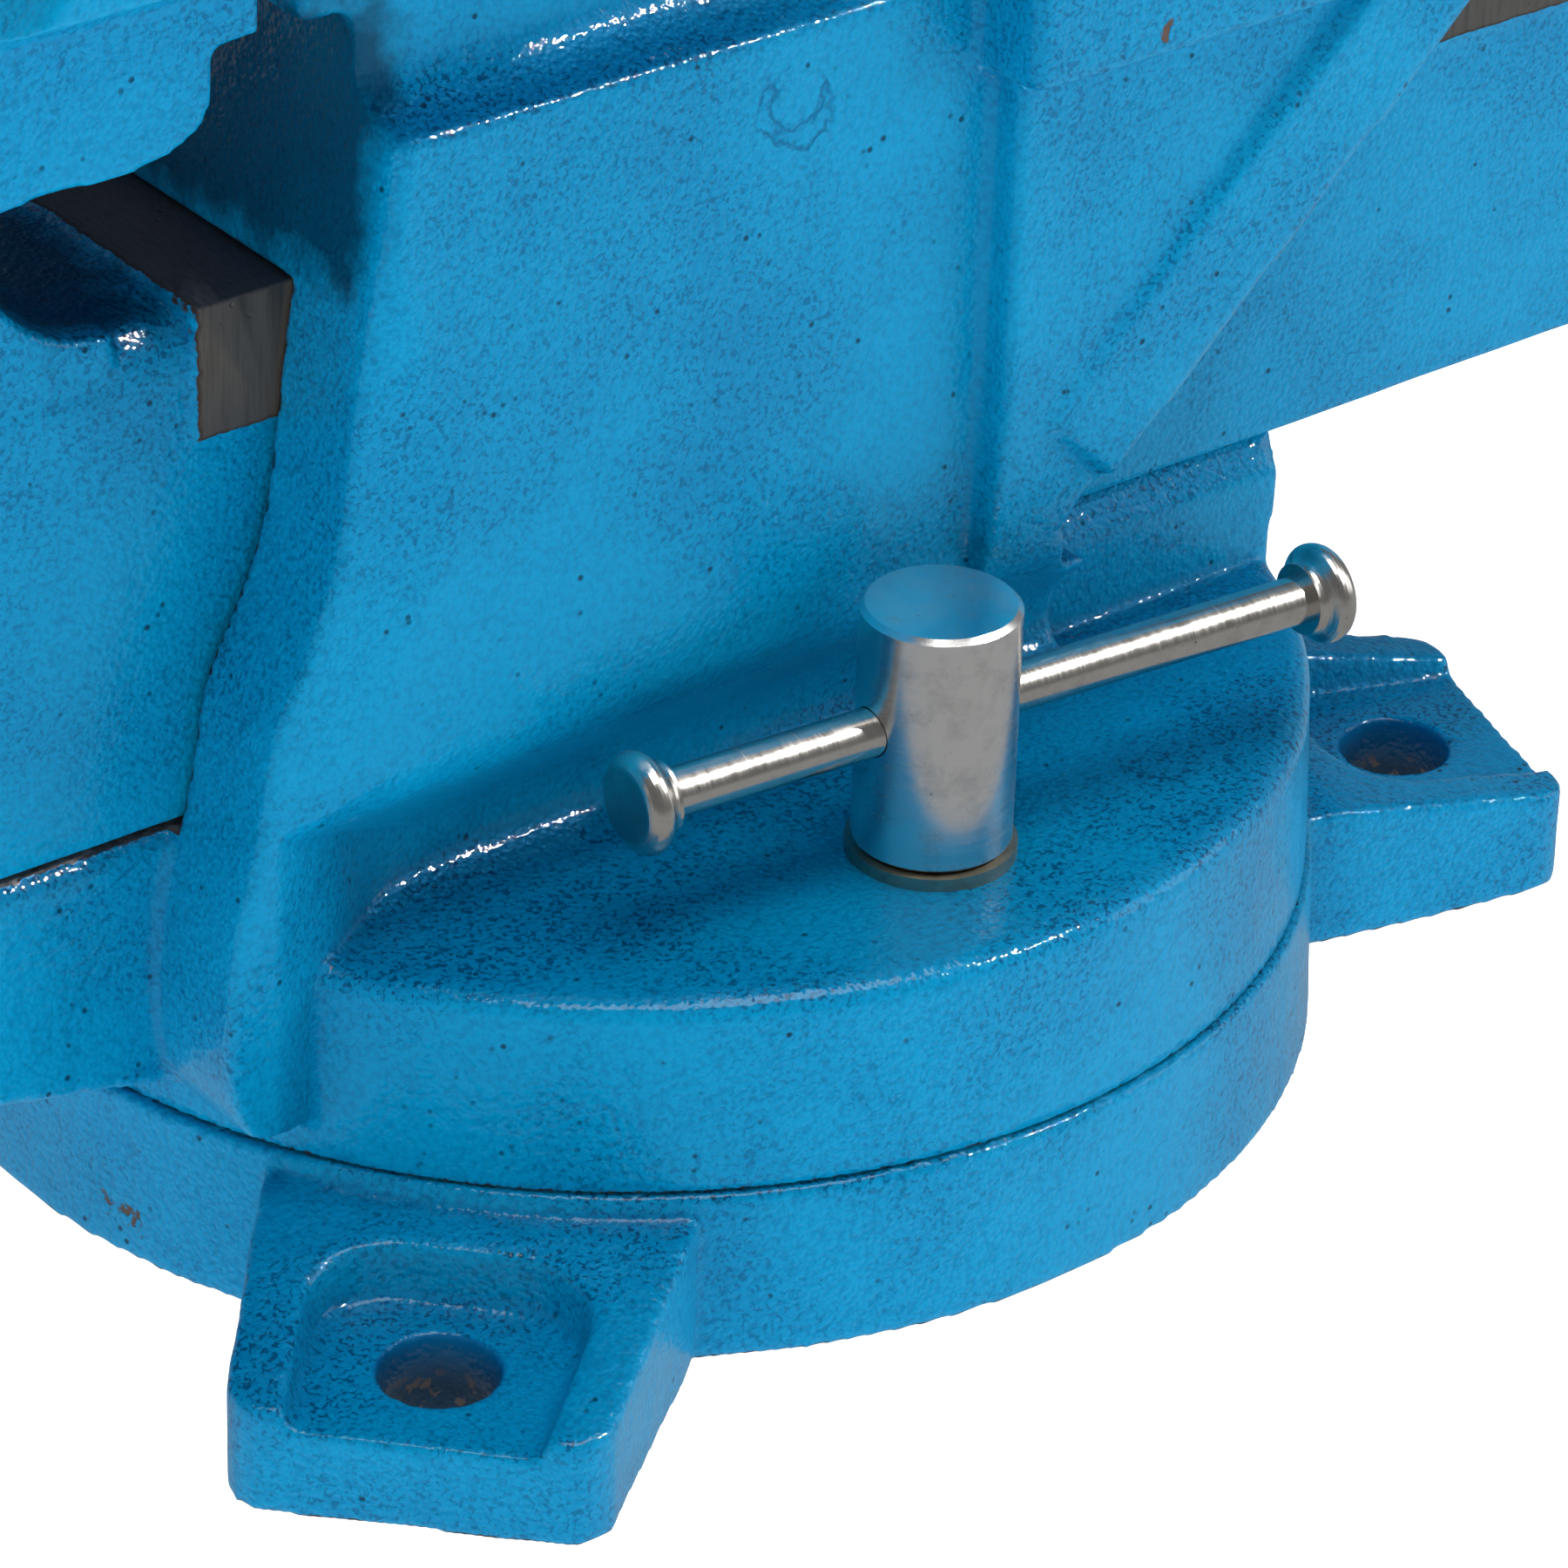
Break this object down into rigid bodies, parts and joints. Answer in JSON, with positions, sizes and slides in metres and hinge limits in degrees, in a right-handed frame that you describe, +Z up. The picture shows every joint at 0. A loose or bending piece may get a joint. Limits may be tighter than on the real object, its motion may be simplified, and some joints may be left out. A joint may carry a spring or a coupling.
{
  "type": "swivel bench vise",
  "caption": "Bench vise with a channel slide, replaceable jaw plates, anvil and screw handle, on a round swivel base locked by bolts with small sliding bars.",
  "frame": {"origin": "swivel axis where it meets the bench, at the underside of the base", "axes": "+Z up, +X from the handle end towards the anvil end along the slide, +Y to the far side"},
  "size_m": [0.3406, 0.2157, 0.192],
  "materials": {
    "base_paint": "glossy blue enamel over rough cast iron",
    "body_paint": "glossy blue enamel over rough cast iron, slide channel left bare",
    "jaw_paint": "glossy blue enamel over rough cast iron, slide lands machined bare",
    "plate_steel": "hardened plate with a cut diamond face",
    "dark_screws": "black oxide",
    "plain_steel": "plain turned steel",
    "nut_iron": "bare cast iron, oiled",
    "zinc_washer": "zinc plate",
    "bronze": "turned bronze",
    "screw_steel": "turned steel, lightly greased",
    "spring_steel": "drawn wire",
    "handle_chrome": "bright chrome plate",
    "lock_chrome": "bright nickel chrome plate"
  },
  "bodies": {
    "base": {"swivel_base": "base_paint"},
    "vise_body": {"fixed_jaw_body": "body_paint", "fixed_jaw_plate": "plate_steel", "fixed_plate_screws": "dark_screws", "spindle_nut": "nut_iron", "nut_screw": "plain_steel", "pivot_bolt": "plain_steel", "pivot_washer": "plain_steel", "lock_washers": "zinc_washer", "clamp_nuts": "plain_steel"},
    "moving_jaw": {"moving_jaw": "jaw_paint", "moving_jaw_plate": "plate_steel", "moving_plate_screws": "dark_screws", "thrust_bush": "bronze"},
    "spindle": {"lead_screw": "screw_steel", "thrust_washer": "zinc_washer", "return_spring": "spring_steel", "retaining_collar": "plain_steel", "collar_pin": "plain_steel"},
    "handle": {"handle_rod": "handle_chrome", "handle_knobs": "handle_chrome"},
    "near_lock": {"lock_bolt_near": "lock_chrome"},
    "near_lock_bar": {"lock_bar_near": "lock_chrome", "lock_bar_knobs_near": "lock_chrome"},
    "far_lock": {"lock_bolt_far": "lock_chrome"},
    "far_lock_bar": {"lock_bar_far": "lock_chrome", "lock_bar_knobs_far": "lock_chrome"}
  },
  "joints": [
    {"name": "swivel", "type": "hinge", "parent": "base", "child": "vise_body", "pos_m": [0, 0, 0.02], "axis": [0, 0, 1], "continuous": true},
    {"name": "jaw_slide", "type": "slide", "parent": "vise_body", "child": "moving_jaw", "axis": [-1, 0, 0], "range_m": [-0.0044, 0.112]},
    {"name": "screw_turn", "type": "hinge", "parent": "moving_jaw", "child": "spindle", "pos_m": [-0.15, 0, 0.086], "axis": [-1, 0, 0], "range_deg": [-317, 8065]},
    {"name": "handle_slide", "type": "slide", "parent": "spindle", "child": "handle", "axis": [0, 1, 0], "range_m": [-0.0665, 0.0665]},
    {"name": "near_lock_turn", "type": "hinge", "parent": "vise_body", "child": "near_lock", "pos_m": [0, -0.057, 0.06], "axis": [0, 0, 1], "range_deg": [-2.5, 14]},
    {"name": "near_bar_slide", "type": "slide", "parent": "near_lock", "child": "near_lock_bar", "axis": [0.9971, -0.0767, 0], "range_m": [-0.0393, 0.0257]},
    {"name": "far_lock_turn", "type": "hinge", "parent": "vise_body", "child": "far_lock", "pos_m": [0, 0.057, 0.06], "axis": [0, 0, 1], "range_deg": [-7, 10]},
    {"name": "far_bar_slide", "type": "slide", "parent": "far_lock", "child": "far_lock_bar", "axis": [0.9986, -0.0523, 0], "range_m": [-0.0265, 0.0385]}
  ],
  "couplings": [
    {"joint": "screw_turn", "follows": "jaw_slide", "rad_per_m": 1256.6}
  ]
}
